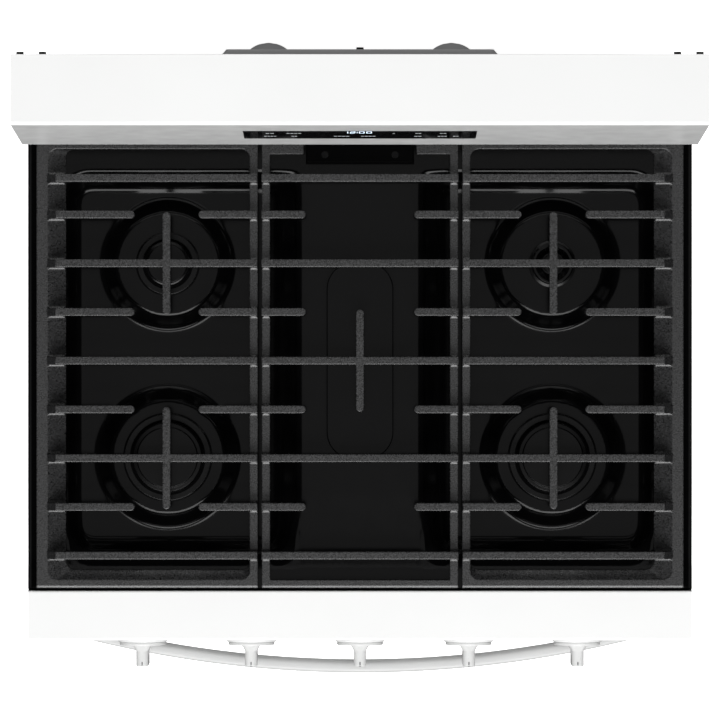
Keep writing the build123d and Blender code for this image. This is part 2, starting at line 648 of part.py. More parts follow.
with BuildPart() as centre_grate:
    add_frame(both_ways(CENTRE_RAIL[1]))
    block(both_ways(CENTRE_RAIL[0]), (-242.4, 243.7), (RAIL_FOOT - 1, RAIL_TOP + 1), Mode.SUBTRACT)
    block(both_ways(64.5), (240, 265), (RAIL_FOOT - 1, RAIL_TOP + 1), Mode.SUBTRACT)  # room for the vent
    end = [(CENTRE_RAIL[1], RAIL_TOP - 2), (CENTRE_RAIL[1], GRATE_TOP)]
    heel = [(98, BAR_FOOT), (CENTRE_RAIL[0], RAIL_TOP - 2)]
    far_end = [(-x, z) for x, z in reversed(end)]
    far_heel = [(-x, z) for x, z in reversed(heel)]
    add_bars(end + far_end + far_heel + heel, FULL_ROWS)
    finger = 61.7 + BAR / 2
    for side in (-1, 1):
        outline = end + [(finger, GRATE_TOP), (finger, BAR_FOOT)] + heel
        add_bars([(side * x, z) for x, z in outline], FINGER_ROWS)
        add_tips(side * finger, FINGER_ROWS)
        add_feet(side * sum(CENTRE_RAIL) / 2, 9, FULL_ROWS + FINGER_ROWS, RAIL_TOP - 1)
    add_arm(0, CENTRE_Y)
save(centre_grate, "grate_centre")

# ---- Control panel, valves and gas line -------------------------------------------------
with BuildPart() as control_panel:
    block(both_ways(HALF), (PANEL_Y, PANEL_BACK), PANEL_Z)
    fillet(control_panel.faces().sort_by(Axis.Y)[0].edges(), 2.5)
    fillet(control_panel.edges().filter_by(Axis.X).group_by(Axis.Y)[-1].sort_by(Axis.Z)[-1], 3.0)
    block(both_ways(HALF - SHEET), (PANEL_Y + SHEET, -250), (PANEL_Z[0] + SHEET, PANEL_Z[1] - SHEET),
          Mode.SUBTRACT)
    # the lower flange stops short of the side panels
    block(both_ways(HALF - SHEET), (BODY_FRONT - 1, -250), (PANEL_Z[0] - 1, PANEL_Z[0] + 5), Mode.SUBTRACT)
    for x in KNOB_X:
        with Locations((x, PANEL_Y, KNOB_Z)):
            Cylinder(6.5, 8, rotation=(90, 0, 0), mode=Mode.SUBTRACT)
save(control_panel, "control_panel")

with BuildPart() as valve_bodies:
    for x in KNOB_X:
        block((x - 12, x + 12), (-300, PIPE_Y - PIPE_R - 0.2), (KNOB_Z - 12, KNOB_Z + 12))
        with Locations((x, -289, KNOB_Z)):
            Cylinder(PLUG_R + RUN, 22.2, rotation=(90, 0, 0), mode=Mode.SUBTRACT)
save(valve_bodies, "valve_bodies")


def make_control(index, x):
    """A valve's turning stem and the knob on it."""
    with BuildPart() as stem:
        with Locations((x, -289, KNOB_Z)):
            Cylinder(PLUG_R, 21.4, rotation=(90, 0, 0))
        with Locations((x, -315, KNOB_Z)):
            Cylinder(STEM_R, 38, rotation=(90, 0, 0))
        block((x - 5, x + 5), (-335, -322), (KNOB_Z + 3, KNOB_Z + 5), Mode.SUBTRACT)  # key flat
    save(stem, f"valve_stem_{index}")

    with BuildPart() as knob:
        with BuildSketch(Plane.XZ.offset(-SKIRT_Y[0])):
            with Locations((x, KNOB_Z)):
                Circle(26.5)
        extrude(amount=SKIRT_Y[0] - SKIRT_Y[1])
        fillet(knob.faces().sort_by(Axis.Y)[0].edges(), 1.2)
        for y, width in ((SKIRT_Y[1] + 0.5, 21.0), (SKIRT_Y[1] - 6, 14.0)):
            with BuildSketch(Plane.XZ.offset(-y)):
                with Locations((x, KNOB_Z)):
                    RectangleRounded(width, 47, 6)
        loft()
        with BuildSketch(Plane.XZ.offset(6 - SKIRT_Y[1])):
            with Locations((x, KNOB_Z)):
                RectangleRounded(14, 47, 6)
        extrude(amount=SKIRT_Y[1] - 6 - KNOB_TIP)
        fillet(knob.faces().sort_by(Axis.Y)[0].edges(), 1.5)
        block((x - 1.2, x + 1.2), (KNOB_TIP - 1, KNOB_TIP + 0.8), (KNOB_Z + 3, KNOB_Z + 24), Mode.SUBTRACT)
        with Locations((x, -327, KNOB_Z)):
            Cylinder(STEM_R + RUN, 22.6, rotation=(90, 0, 0), mode=Mode.SUBTRACT)
    save(knob, f"knob_{index}")


for index, x in enumerate(KNOB_X, start=1):
    make_control(index, x)

with BuildPart() as gas_manifold:
    with BuildLine() as pipe_path:
        FilletPolyline(
            (-300, PIPE_Y, KNOB_Z),
            (RISER_X, PIPE_Y, KNOB_Z),
            (RISER_X, RISER_Y, KNOB_Z),
            (RISER_X, RISER_Y, 122.3),
            radius=25,
        )
    with BuildSketch(Plane(origin=pipe_path.wire() @ 0, z_dir=pipe_path.wire() % 0)):
        Circle(PIPE_R)
    sweep()
save(gas_manifold, "gas_manifold")

INLET_Z = 100.0
INLET_R = 9.2  # bore of the half-inch pipe thread
INLET_Y = 334.0

with BuildPart() as regulator:
    with Locations((RISER_X, RISER_Y, 102)):
        Cylinder(30, 40)
    with Locations((RISER_X, (RISER_Y + INLET_Y) / 2, INLET_Z)):
        Cylinder(15, INLET_Y - RISER_Y, rotation=(90, 0, 0))
    with Locations((RISER_X, INLET_Y - 11, INLET_Z)):
        Cylinder(INLET_R, 22, rotation=(90, 0, 0), mode=Mode.SUBTRACT)
save(regulator, "pressure_regulator")

FEEDS = [("front_left", -220, -102.5), ("rear_left", -220, 118.7), ("centre", 0, CENTRE_Y),
         ("rear_right", 220, 118.7), ("front_right", 220, -102.5)]

with BuildPart() as burner_tubes:
    for knob_x, (_, x, y) in zip(KNOB_X, FEEDS):
        with BuildLine() as tube_path:
            FilletPolyline(
                (knob_x, -275, KNOB_Z - 12.2),
                (knob_x, -275, 840),
                (x, y, 840),
                (x, y, BASE_Z - 0.2),
                radius=9,
            )
        with BuildSketch(Plane(origin=tube_path.wire() @ 0, z_dir=tube_path.wire() % 0)):
            Circle(4)
        sweep()
save(burner_tubes, "burner_tubes")

# ---- Backguard --------------------------------------------------------------------------
lean = Vector(0, GUARD_TOP_Y - GUARD_LOW[0], HEIGHT - GUARD_LOW[1])
face_plane = Plane(origin=(0, *GUARD_LOW), x_dir=(1, 0, 0), z_dir=(0, -lean.Z, lean.Y))
slope_height = lean.length / lean.Z


def display_area(clearance, depth, mode):
    """The display's rectangle on the leaning face, extruded inwards."""
    width, low, high = DISPLAY
    with BuildSketch(face_plane) as area:
        with Locations((0, ((low + high) / 2 - GUARD_LOW[1]) * slope_height)):
            Rectangle(width + 2 * clearance, (high - low) * slope_height + 2 * clearance)
    extrude(area.sketch, amount=-depth, mode=mode)


with BuildPart() as backguard:
    with BuildSketch(Plane.YZ.offset(-HALF)):
        with BuildLine():
            Polyline((RISER_FACE, GUARD_FOOT), (BACK_Y, GUARD_FOOT), (BACK_Y, HEIGHT),
                     (GUARD_TOP_Y, HEIGHT), GUARD_LOW, (RISER_FACE, GUARD_LOW[1] - 6), close=True)
        make_face()
    extrude(amount=WIDTH)
    fillet(backguard.edges().filter_by(Axis.X).group_by(Axis.Z)[-1].sort_by(Axis.Y)[0], 4)
    with BuildSketch(Plane.YZ.offset(-HALF + SHEET)):
        with BuildLine():
            Polyline((RISER_FACE + SHEET, GUARD_FOOT - 5), (BACK_Y + 5, GUARD_FOOT - 5),
                     (BACK_Y + 5, HEIGHT - SHEET), (GUARD_TOP_Y + 3, HEIGHT - SHEET),
                     (GUARD_LOW[0] + SHEET, GUARD_LOW[1] + 1), (RISER_FACE + SHEET, GUARD_LOW[1] - 4),
                     close=True)
        make_face()
    extrude(amount=WIDTH - 2 * SHEET, mode=Mode.SUBTRACT)
    display_area(0.2, 8, Mode.SUBTRACT)
    for x in range(-270, 271, 60):  # air slots in the set-back face
        block((x - 20, x + 20), (RISER_FACE - 1, RISER_FACE + 5), (960, 966), Mode.SUBTRACT)
save(backguard, "backguard_cover")

with BuildPart() as display_glass:
    display_area(0, 4, Mode.ADD)
save(display_glass, "display_glass")

with BuildPart() as control_board:
    block(both_ways(122), (276, 296), (1062, 1140))
    block((-60, 60), (296, 306), (1075, 1125))
save(control_board, "control_board")

PLATEAU_Y = 347.0
PLATEAU = (302.0, 184.0, 1095.0)  # width, height and middle z of the pressed plateau
DOME_Z = 1150.0
DOME_R = 22.5  # at a dome's foot

with BuildPart() as rear_cover:
    block(both_ways(SIDE_X - 0.5), (BACK_Y - SHEET, BACK_Y), (GUARD_FOOT + 4, HEIGHT - 2.5))
    with BuildSketch(Plane.XZ.offset(-BACK_Y)):
        with Locations((0, PLATEAU[2])):
            RectangleRounded(PLATEAU[0], PLATEAU[1], 10)
    extrude(amount=-(PLATEAU_Y - BACK_Y), taper=42)
    dome_tall = REACH_Y - PLATEAU_Y
    sphere_r = (DOME_R**2 + dome_tall**2) / (2 * dome_tall)
    rings = 6
    for x in (-100, 100):  # stand-off domes, each a stack of tapered rings
        for ring in range(rings):
            levels = [dome_tall * ring / rings, dome_tall * (ring + 1) / rings]
            low_r, high_r = (math.sqrt(sphere_r**2 - (sphere_r - dome_tall + level) ** 2) for level in levels)
            with Locations((x, PLATEAU_Y + levels[0], DOME_Z)):
                Cone(low_r, max(high_r, 1), dome_tall / rings, rotation=(-90, 0, 0), align=UPRIGHT)
save(rear_cover, "backguard_rear_cover")

# ---- Fasteners --------------------------------------------------------------------------
SCREW_R = 4.0
REAR_SCREWS = [(x, BACK_Y, HEIGHT - 11) for x in (-370, -345.5, 345.5, 370)]
REAR_SCREWS += [(0, PLATEAU_Y, 1165)]
REAR_SCREWS += [(0, REAR_SHEET_Y, z) for z in (170, 520, 870)]

with BuildPart() as screws:
    with Locations(*REAR_SCREWS):
        Cylinder(SCREW_R, 3, rotation=(90, 0, 0), align=(Align.CENTER, Align.CENTER, Align.MAX))
    for x in (-40, 40):
        with Locations((x, 243, VENT_TOP)):
            Cylinder(SCREW_R, 1.4, align=UPRIGHT)
save(screws, "screws")
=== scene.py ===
"""Looks of a freestanding gas range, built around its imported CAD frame.

Metres. +X is the user's right, +Y is towards the wall, +Z is up. Places come from the frame's nodes.
"""

import math

import bpy
import numpy as np
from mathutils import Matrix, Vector


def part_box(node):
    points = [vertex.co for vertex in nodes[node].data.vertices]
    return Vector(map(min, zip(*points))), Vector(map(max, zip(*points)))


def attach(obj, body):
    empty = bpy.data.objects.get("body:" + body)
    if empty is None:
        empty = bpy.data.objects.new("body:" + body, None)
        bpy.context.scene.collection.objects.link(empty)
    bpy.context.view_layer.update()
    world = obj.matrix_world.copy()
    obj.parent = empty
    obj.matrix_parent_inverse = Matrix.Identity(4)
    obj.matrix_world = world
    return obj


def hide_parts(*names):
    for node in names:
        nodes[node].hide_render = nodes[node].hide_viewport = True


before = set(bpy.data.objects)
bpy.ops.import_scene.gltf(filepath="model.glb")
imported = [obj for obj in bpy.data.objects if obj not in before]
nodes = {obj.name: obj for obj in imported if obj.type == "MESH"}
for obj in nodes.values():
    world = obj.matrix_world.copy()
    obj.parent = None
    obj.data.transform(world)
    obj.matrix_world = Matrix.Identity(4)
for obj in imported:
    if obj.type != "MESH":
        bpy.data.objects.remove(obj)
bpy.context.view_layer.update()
scene = bpy.context.scene

MM = 0.001
STATIC = "range_body"
BURNERS = ("front_left", "front_right", "rear_left", "rear_right", "centre")


# ---- Materials ------------------------------------------------------------------------
def start_material(name, colour, roughness, metallic=0.0, coat=0.0, specular=0.5):
    """A Principled material and its shader, with the uniform values on the shader's own sockets."""
    made = bpy.data.materials.new(name)
    made.use_nodes = True
    shader = made.node_tree.nodes["Principled BSDF"]
    shader.inputs["Base Color"].default_value = (*colour, 1.0)
    shader.inputs["Roughness"].default_value = roughness
    shader.inputs["Metallic"].default_value = metallic
    shader.inputs["Coat Weight"].default_value = coat
    shader.inputs["Coat Roughness"].default_value = 0.06
    shader.inputs["Specular IOR Level"].default_value = specular
    return made, shader


def add_noise(made, scale, detail=3.0, stretch=(1.0, 1.0, 1.0)):
    """Noise in the object's own metres, stretched along its axes where asked."""
    tree = made.node_tree
    place = tree.nodes.new("ShaderNodeTexCoord")
    mapping = tree.nodes.new("ShaderNodeMapping")
    mapping.inputs["Scale"].default_value = stretch
    grain = tree.nodes.new("ShaderNodeTexNoise")
    grain.inputs["Scale"].default_value = scale
    grain.inputs["Detail"].default_value = detail
    tree.links.new(place.outputs["Object"], mapping.inputs["Vector"])
    tree.links.new(mapping.outputs["Vector"], grain.inputs["Vector"])
    return grain.outputs["Fac"]


def add_cells(made, scale):
    """Voronoi cells in the object's own metres: distance and colour outputs."""
    tree = made.node_tree
    place = tree.nodes.new("ShaderNodeTexCoord")
    cells = tree.nodes.new("ShaderNodeTexVoronoi")
    cells.inputs["Scale"].default_value = scale
    tree.links.new(place.outputs["Object"], cells.inputs["Vector"])
    return cells.outputs["Distance"], cells.outputs["Color"]


def vary_colour(made, shader, factor, low, high, span=(0.3, 0.7)):
    """Base colour that runs from low to high as the factor crosses the span."""
    tree = made.node_tree
    ramp = tree.nodes.new("ShaderNodeValToRGB")
    ramp.color_ramp.elements[0].position = span[0]
    ramp.color_ramp.elements[0].color = (*low, 1.0)
    ramp.color_ramp.elements[1].position = span[1]
    ramp.color_ramp.elements[1].color = (*high, 1.0)
    tree.links.new(factor, ramp.inputs["Fac"])
    tree.links.new(ramp.outputs["Color"], shader.inputs["Base Color"])


def vary_roughness(made, shader, factor, low, high):
    """Roughness that runs from low to high with the factor."""
    tree = made.node_tree
    spread = tree.nodes.new("ShaderNodeMapRange")
    spread.inputs["From Min"].default_value = 0.3
    spread.inputs["From Max"].default_value = 0.7
    spread.inputs["To Min"].default_value = low
    spread.inputs["To Max"].default_value = high
    tree.links.new(factor, spread.inputs["Value"])
    tree.links.new(spread.outputs["Result"], shader.inputs["Roughness"])


def add_bump(made, shader, height, distance, edge=0.0):
    """Bump of the given height in metres, over edges that catch the light as if rounded by a radius."""
    tree = made.node_tree
    bump = tree.nodes.new("ShaderNodeBump")
    bump.inputs["Distance"].default_value = distance
    tree.links.new(height, bump.inputs["Height"])
    tree.links.new(bump.outputs["Normal"], shader.inputs["Normal"])
    if edge:
        rounding = tree.nodes.new("ShaderNodeBevel")
        rounding.samples = 6
        rounding.inputs["Radius"].default_value = edge
        tree.links.new(rounding.outputs["Normal"], bump.inputs["Normal"])


def tinted(colour, share):
    """The colour made lighter or darker by a share."""
    return tuple(min(1.0, part * (1 + share)) for part in colour)


def enamel(name, colour, roughness, peel, coat=0.0, cloud=0.03, specular=0.5, edge=0.0):
    """Fired enamel or paint: faint clouding and an orange-peel surface."""
    made, shader = start_material(name, colour, roughness, coat=coat, specular=specular)
    cloud_noise = add_noise(made, 7.0, 2.0)
    vary_colour(made, shader, cloud_noise, tinted(colour, -cloud), tinted(colour, cloud))
    vary_roughness(made, shader, add_noise(made, 40.0, 3.0), roughness * 0.85, roughness * 1.2)
    add_bump(made, shader, add_noise(made, 260.0, 1.0), peel, edge)
    return made


def speckled_enamel(name, colour, fleck):
    """Oven enamel: dark ground with fine light flecks."""
    made, shader = start_material(name, colour, 0.28)
    vary_colour(made, shader, add_noise(made, 900.0, 1.0), colour, fleck, (0.6, 0.72))
    vary_roughness(made, shader, add_noise(made, 30.0, 3.0), 0.22, 0.36)
    add_bump(made, shader, add_noise(made, 300.0, 1.0), 0.02 * MM)
    return made


def cast_metal(name, colour, roughness, grain, size=900.0, metallic=0.0, fleck=0.5, specular=0.5,
               edge=0.0):
    """A cast surface: fine grain in colour, roughness and relief."""
    made, shader = start_material(name, colour, roughness, metallic, specular=specular)
    fine = add_noise(made, size, 1.0)
    vary_colour(made, shader, fine, tinted(colour, -fleck), tinted(colour, fleck), (0.4, 0.6))
    vary_roughness(made, shader, add_noise(made, size / 3, 3.0), roughness * 0.85, roughness * 1.15)
    add_bump(made, shader, fine, grain, edge)
    return made


def sheet_metal(name, colour, roughness):
    """Bare sheet or wire with faint marks."""
    made, shader = start_material(name, colour, roughness, metallic=1.0)
    marks = add_noise(made, 120.0, 4.0)
    vary_colour(made, shader, marks, tinted(colour, -0.12), tinted(colour, 0.08))
    vary_roughness(made, shader, marks, roughness * 0.8, roughness * 1.25)
    add_bump(made, shader, marks, 0.01 * MM)
    return made


def galvanised(name):
    """Zinc spangle: crystals of slightly different greys."""
    made, shader = start_material(name, (0.45, 0.46, 0.47), 0.42, 0.85)
    distance, colours = add_cells(made, 75.0)
    tree = made.node_tree
    grey = tree.nodes.new("ShaderNodeRGBToBW")
    tree.links.new(colours, grey.inputs["Color"])
    vary_colour(made, shader, grey.outputs["Val"], (0.34, 0.35, 0.365), (0.53, 0.54, 0.55), (0.2, 0.8))
    vary_roughness(made, shader, grey.outputs["Val"], 0.34, 0.52)
    add_bump(made, shader, distance, 0.02 * MM)
    return made


def moulded(name, colour, roughness, texture=0.01 * MM, coat=0.0, edge=0.0):
    """Injection-moulded plastic or rubber with a fine sparked texture."""
    made, shader = start_material(name, colour, roughness, coat=coat)
    vary_colour(made, shader, add_noise(made, 25.0, 3.0), tinted(colour, -0.03), tinted(colour, 0.03))
    fine = add_noise(made, 1500.0, 2.0)
    vary_roughness(made, shader, fine, roughness * 0.85, roughness * 1.2)
    add_bump(made, shader, fine, texture, edge)
    return made


def fibre(name, colour, weave):
    """Glass or mineral fibre: matted strands."""
    made, shader = start_material(name, colour, 0.95)
    strands = add_noise(made, weave, 6.0, (1.0, 2.5, 1.0))
    vary_colour(made, shader, strands, tinted(colour, -0.35), tinted(colour, 0.15))
    add_bump(made, shader, strands, 0.5 * MM)
    return made


def lit_print(name, colour, glow):
    """Print or digits lit from behind the glass."""
    made, shader = start_material(name, colour, 0.4)
    vary_colour(made, shader, add_noise(made, 400.0, 2.0), tinted(colour, -0.08), colour)
    shader.inputs["Emission Color"].default_value = (*colour, 1.0)
    shader.inputs["Emission Strength"].default_value = glow
    return made


def window_glass(name):
    """Smoked oven glass: opaque black print round a see-through middle, fading through dots."""
    made, shader = start_material(name, (0.012, 0.012, 0.013), 0.05, coat=0.3)
    tree = made.node_tree
    low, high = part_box("door_window_glass")
    centre = (low + high) / 2
    half = (high - low) / 2
    place = tree.nodes.new("ShaderNodeTexCoord")
    parts = tree.nodes.new("ShaderNodeSeparateXYZ")
    tree.links.new(place.outputs["Object"], parts.inputs["Vector"])

    def maths(operation, first, second=None):
        node = tree.nodes.new("ShaderNodeMath")
        node.operation = operation
        for socket, value in zip(node.inputs, (first, second)):
            if isinstance(value, (int, float)):
                socket.default_value = value
            elif value is not None:
                tree.links.new(value, socket)
        return node.outputs["Value"]

    print_x = half.x - 75 * MM  # half width of the clear middle
    print_z = half.z - 62 * MM
    fade = 14 * MM
    above_centre = maths("SUBTRACT", parts.outputs["Z"], centre.z)
    from_x = maths("SUBTRACT", maths("ABSOLUTE", parts.outputs["X"]), print_x)
    from_z = maths("SUBTRACT", maths("ABSOLUTE", above_centre), print_z)
    # 0 at the clear edge, 1 at full print
    inside = maths("DIVIDE", maths("MAXIMUM", from_x, from_z), fade)
    pitch = 3.2 * MM  # of the dots
    clearness = 0.62  # how much of the light the clear glass lets through
    dots = []
    for axis in ("X", "Z"):
        along = maths("MODULO", maths("ADD", parts.outputs[axis], 2.0), pitch)
        dots.append(maths("POWER", maths("SUBTRACT", along, pitch / 2), 2.0))
    reach = maths("DIVIDE", maths("SQRT", maths("ADD", *dots)), pitch * 0.72)
    printed = maths("GREATER_THAN", inside, reach)
    clear = maths("SUBTRACT", 1.0, printed)
    alpha = maths("SUBTRACT", 1.0, maths("MULTIPLY", clear, clearness))
    tree.links.new(alpha, shader.inputs["Alpha"])
    vary_roughness(made, shader, add_noise(made, 20.0, 2.0), 0.035, 0.07)
    return made


WHITE = (0.7, 0.702, 0.699)
BLACK = (0.0009, 0.0009, 0.001)
DULL = 0.22  # specular level of the black parts, whose reflections are faint

looks = {
    "white_enamel": enamel("white_enamel", WHITE, 0.2, 0.012 * MM, coat=0.15, cloud=0.012,
                           edge=0.8 * MM),
    "black_enamel": enamel("black_enamel", BLACK, 0.16, 0.006 * MM, cloud=0.12, specular=DULL),
    "vent_black": enamel("vent_black", BLACK, 0.3, 0.006 * MM, cloud=0.12, specular=0.02, edge=0.8 * MM),
    "oven_enamel": speckled_enamel("oven_enamel", (0.018, 0.02, 0.028), (0.16, 0.17, 0.2)),
    "cast_iron": cast_metal("cast_iron", (0.017, 0.017, 0.0175), 0.28, 0.075 * MM, size=900.0, fleck=0.9,
                            specular=0.68, edge=1.8 * MM),
    "burner_head": cast_metal("burner_head", (0.002, 0.002, 0.0021), 0.25, 0.01 * MM, size=700.0,
                              fleck=0.2, specular=DULL, edge=0.8 * MM),
    "burner_cap": enamel("burner_cap", (0.0012, 0.0012, 0.0013), 0.2, 0.008 * MM, cloud=0.15,
                         specular=DULL, edge=0.8 * MM),
    "simmer_cap": enamel("simmer_cap", (0.0012, 0.0012, 0.0013), 0.12, 0.006 * MM, cloud=0.1,
                         specular=DULL, edge=0.8 * MM),
    # The knobs' white plastic is made darker than the body's white: painted shade from the panel above
    # them.
    "knob_plastic": moulded("knob_plastic", (0.56, 0.562, 0.559), 0.28, coat=0.1, edge=0.6 * MM),
    # The handle's white paint is made darker than the body's white: painted shade, for the less light that
    # the bar gets.
    "handle_white_shaded": enamel("handle_white_shaded", (0.45, 0.452, 0.45), 0.4, 0.006 * MM, cloud=0.01),
    "window_glass": window_glass("window_glass"),
    "display_glass": enamel("display_glass", (0.004, 0.004, 0.0045), 0.06, 0.001 * MM, coat=0.2),
    "galvanised": galvanised("galvanised"),
    "rear_steel": enamel("rear_steel", (0.38, 0.38, 0.384), 0.5, 0.01 * MM, cloud=0.05),
    "frame_black": enamel("frame_black", (0.018, 0.018, 0.018), 0.4, 0.02 * MM),
    "chrome_wire": sheet_metal("chrome_wire", (0.62, 0.62, 0.63), 0.14),
    "stem_metal": sheet_metal("stem_metal", (0.5, 0.5, 0.5), 0.35),
    "die_cast": cast_metal("die_cast", (0.5, 0.5, 0.51), 0.42, 0.03 * MM, metallic=0.9, fleck=0.15),
    "pipe_black": cast_metal("pipe_black", (0.03, 0.03, 0.032), 0.5, 0.05 * MM, fleck=0.3),
    "tube_metal": sheet_metal("tube_metal", (0.66, 0.67, 0.68), 0.32),
    "gasket_fibre": fibre("gasket_fibre", (0.13, 0.13, 0.125), 900.0),
    "insulation": fibre("insulation", (0.62, 0.56, 0.38), 220.0),
    "ceramic": moulded("ceramic", (0.78, 0.77, 0.74), 0.3),
    "circuit_board": moulded("circuit_board", (0.03, 0.14, 0.07), 0.45),
    "foot_plastic": moulded("foot_plastic", (0.02, 0.02, 0.02), 0.55, 0.03 * MM),
    "screw_black": cast_metal("screw_black", (0.002, 0.002, 0.0022), 0.4, 0.01 * MM, fleck=0.2,
                              specular=0.1),
    "dark_mark": moulded("dark_mark", (0.03, 0.03, 0.033), 0.4),
    "grey_print": moulded("grey_print", (0.16, 0.165, 0.17), 0.5),
    "clock_light": lit_print("clock_light", (0.72, 0.85, 1.0), 1.0),
    "key_print": lit_print("key_print", (0.6, 0.62, 0.64), 0.1),
}

NODE_LOOKS = {
    "white_enamel": ["side_panel_left", "side_panel_right", "door_outer_panel", "drawer_front",
                     "control_panel", "backguard_cover"],
    "black_enamel": ["door_inner_panel", "cooktop", "burner_cap_centre", "burner_head_centre"],
    "vent_black": ["oven_vent_trim"],
    "oven_enamel": ["oven_liner", "oven_front_frame", "oven_floor_panel"],
    "cast_iron": ["grate_left", "grate_centre", "grate_right"],
    "burner_head": ["burner_head_" + name for name in BURNERS if name != "centre"],
    "burner_cap": ["burner_cap_" + name for name in ("front_left", "front_right", "rear_left")],
    "simmer_cap": ["burner_cap_rear_right"],
    "knob_plastic": [f"knob_{index}" for index in range(1, 6)],
    "handle_white_shaded": ["door_handle"],
    "window_glass": ["door_window_glass"],
    "display_glass": ["display_glass"],
    "galvanised": ["rear_panel", "drawer_box", "drawer_runners", "door_hinges", "flue_duct",
                   "bake_burner", "broil_burner"],
    "rear_steel": ["backguard_rear_cover"],
    "frame_black": ["base_frame"],
    "chrome_wire": ["oven_rack_lower", "oven_rack_upper", "rack_guides"],
    "stem_metal": [f"valve_stem_{index}" for index in range(1, 6)],
    "die_cast": ["valve_bodies", "pressure_regulator"],
    "pipe_black": ["gas_manifold"],
    "tube_metal": ["burner_tubes"],
    "gasket_fibre": ["door_gasket"],
    "insulation": ["insulation_blanket"],
    "ceramic": ["spark_electrodes"],
    "circuit_board": ["control_board"],
    "foot_plastic": ["levelling_legs"],
    "screw_black": ["screws"],
}


def wear(thing, look):
    thing.data.materials.clear()
    thing.data.materials.append(looks[look])


def smooth(mesh, degrees=35):
    """Smooth shading with sharp edges kept."""
    mesh.shade_smooth()
    mesh.set_sharp_from_angle(angle=math.radians(degrees))


for look, names in NODE_LOOKS.items():
    for name in names:
        wear(nodes[name], look)
        smooth(nodes[name].data)


def new_piece(name, points, faces, look, body):
    """A mesh piece in the range's own metres that rides on a body."""
    mesh = bpy.data.meshes.new(name)
    mesh.from_pydata([tuple(point) for point in points], [], faces)
    mesh.validate()
    piece = bpy.data.objects.new(name, mesh)
    scene.collection.objects.link(piece)
    wear(piece, look)
    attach(piece, body)
    return piece


# ---- Cooktop pressing -----------------------------------------------------------------
cook_low, cook_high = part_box("cooktop")
LEDGE = cook_high.z - 3 * MM
WELL = cook_high.z - 25 * MM
MOUND = 17 * MM  # height of the raised ring under each round burner
MOUND_RADII = {"front": (81.5, 63.5), "rear": (75.3, 58.0)}  # foot and top, in millimetres
WELL_TOP = ((70 * MM, -231 * MM), (336 * MM, 224 * MM))  # low and high corners of the right well
WELL_FLOOR = ((93 * MM, -198 * MM), (325.5 * MM, 205 * MM))
INNER_CORNER = 8 * MM  # radius of the wells' corners towards the middle
OUTER_CORNERS = (26 * MM, 18 * MM)  # radii of the other corners, at the top and at the floor
BURNER_SPOTS = {name: sum(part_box("burner_head_" + name), Vector()) / 2 for name in BURNERS}


def rounded_distance(x, y, low, high, corner):
    """Signed distance to a rectangle with rounded corners, negative inside; the radius may vary."""
    across = np.abs(x - (low[0] + high[0]) / 2) - (high[0] - low[0]) / 2 + corner
    along = np.abs(y - (low[1] + high[1]) / 2) - (high[1] - low[1]) / 2 + corner
    outside = np.hypot(np.maximum(across, 0), np.maximum(along, 0))
    return outside + np.minimum(np.maximum(across, along), 0) - corner


def well_depth(x, y, side):
    """0 on the ledge and 1 on a well's floor, down the slope between their outlines."""
    out = side * x  # wells mirror each other
    near_middle = out < 200 * MM
    top_corner, floor_corner = [np.where(near_middle, INNER_CORNER, corner) for corner in OUTER_CORNERS]
    top = rounded_distance(out, y, *WELL_TOP, top_corner)
    floor = rounded_distance(out, y, *WELL_FLOOR, floor_corner)
    fall = np.clip(-top / np.maximum(np.maximum(floor, 0) - top, 1e-6), 0, 1)
    # the front slope starts gently and ends steep
    gentle_then_steep = np.interp(fall, (0, 0.6, 1), (0, 0.28, 1))
    at_front = np.clip((-y - 150 * MM) / (40 * MM), 0, 1)
    return fall + at_front * (gentle_then_steep - fall)


def softened(heights, step, radius):
    """Heights averaged over a bell of the given radius, which rounds every crease."""
    reach = int(2.5 * radius / step) + 1
    bell = np.exp(-0.5 * (np.arange(-reach, reach + 1) * step / radius) ** 2)
    bell /= bell.sum()
    for axis in (0, 1):
        padding = [(reach, reach) if i == axis else (0, 0) for i in (0, 1)]
        padded = np.pad(heights, padding, mode="edge")
        heights = np.apply_along_axis(lambda line: np.convolve(line, bell, "valid"), axis, padded)
    return heights


def rounded_creases(heights, step, hollow, raised):
    """Heights with their hollow and their raised creases rounded by radii of their own."""
    return np.maximum(softened(heights, step, hollow), softened(heights, step, raised))


def cooktop_heights(x, y, step):
    """Heights of the pressing's upper surface over a grid of places."""
    heights = np.full(x.shape, LEDGE)
    for side in (-1, 1):
        heights -= (LEDGE - WELL) * well_depth(x, y, side)
    heights = rounded_creases(heights, step, 3.2 * MM, 2.6 * MM)
    for name, spot in BURNER_SPOTS.items():
        if name == "centre":
            continue
        foot, top = MOUND_RADII[name.split("_")[0]]
        away = np.hypot(x - spot.x, y - spot.y) / MM
        climb = np.interp(away, (top, top + 1, foot - 1, foot), (1, 1, 0, 0))
        heights = np.maximum(heights, WELL + MOUND * climb)
    # a shallow step across the front, whose floor climbs back slowly
    behind_step = (y - cook_low.y) / MM
    heights -= np.interp(behind_step, (23, 33, 110), (0, 1, 0)) * 2 * MM * (heights > LEDGE - 1 * MM)
    heights = rounded_creases(heights, step, 3.0 * MM, 1.1 * MM)
    # a rim at the sides and at the rear, with a rounded outer edge
    from_edge = np.minimum(cook_high.x - np.abs(x), cook_high.y - y)
    rise = np.clip((9.5 * MM - from_edge) / (8.0 * MM), 0, 1)
    edge_round = np.clip(1 - from_edge / (1.6 * MM), 0, 1)
    heights += (cook_high.z - LEDGE) * rise - 1.2 * MM * edge_round**2
    heights[0] -= 4 * MM  # the front edge turns down steeply
    return heights


